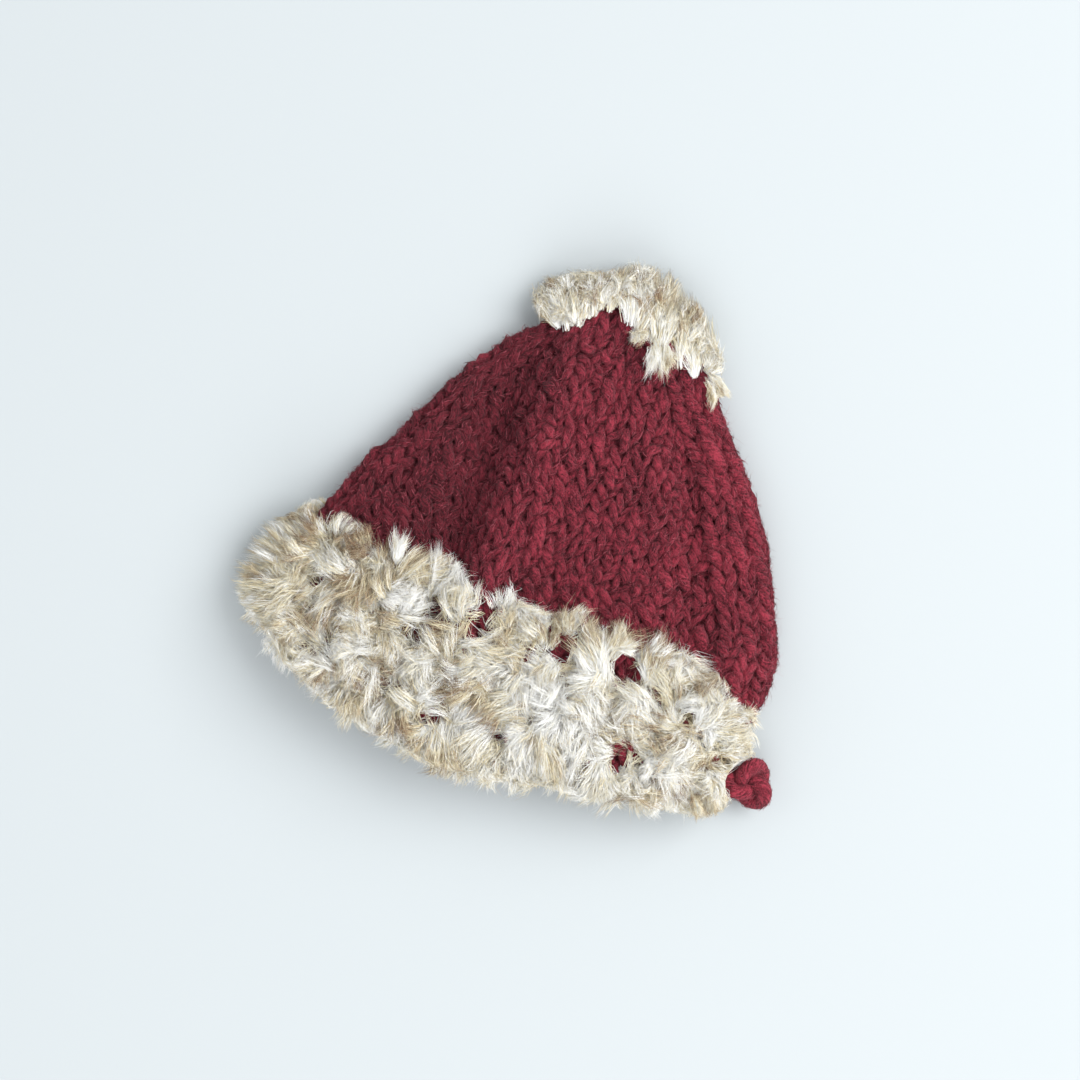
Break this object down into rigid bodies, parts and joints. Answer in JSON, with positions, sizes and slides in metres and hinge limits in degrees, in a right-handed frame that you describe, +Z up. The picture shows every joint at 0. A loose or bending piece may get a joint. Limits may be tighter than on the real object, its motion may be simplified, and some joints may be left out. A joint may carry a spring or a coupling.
{
  "type": "knit hat",
  "caption": "Thick hand-knit wool hat lying flat, with a shaggy fur-yarn brim, a fur-yarn crown and a small yarn knot at one end of the brim.",
  "frame": {"origin": "centre of the hat's overall box, at the table that its back lies on", "axes": "+X along the brim towards the knot, +Y from the mouth to the crown, +Z up from the table out of the upper layer"},
  "size_m": [0.2879, 0.2685, 0.0555],
  "materials": {
    "wool": "matte burgundy wool yarn",
    "wool_sewing": "matte burgundy wool yarn, sewn",
    "fur_yarn": "shaggy cream, white and brown pile"
  },
  "bodies": {
    "hat": {"knit_back": "wool", "knit_front": "wool", "left_fold": "wool", "right_seam": "wool_sewing", "cast_on_edge": "wool", "brim_fur_front": "fur_yarn", "brim_fur_back": "fur_yarn", "crown_seam": "wool_sewing", "crown_fur": "fur_yarn"},
    "knot": {"knot_neck": "wool_sewing", "end_knot": "wool_sewing"}
  },
  "joints": [
    {"name": "knot_swing", "type": "hinge", "parent": "hat", "child": "knot", "pos_m": [0.1212, -0.083, 0.0125], "axis": [0, 0, 1], "range_deg": [-25, 25]}
  ]
}
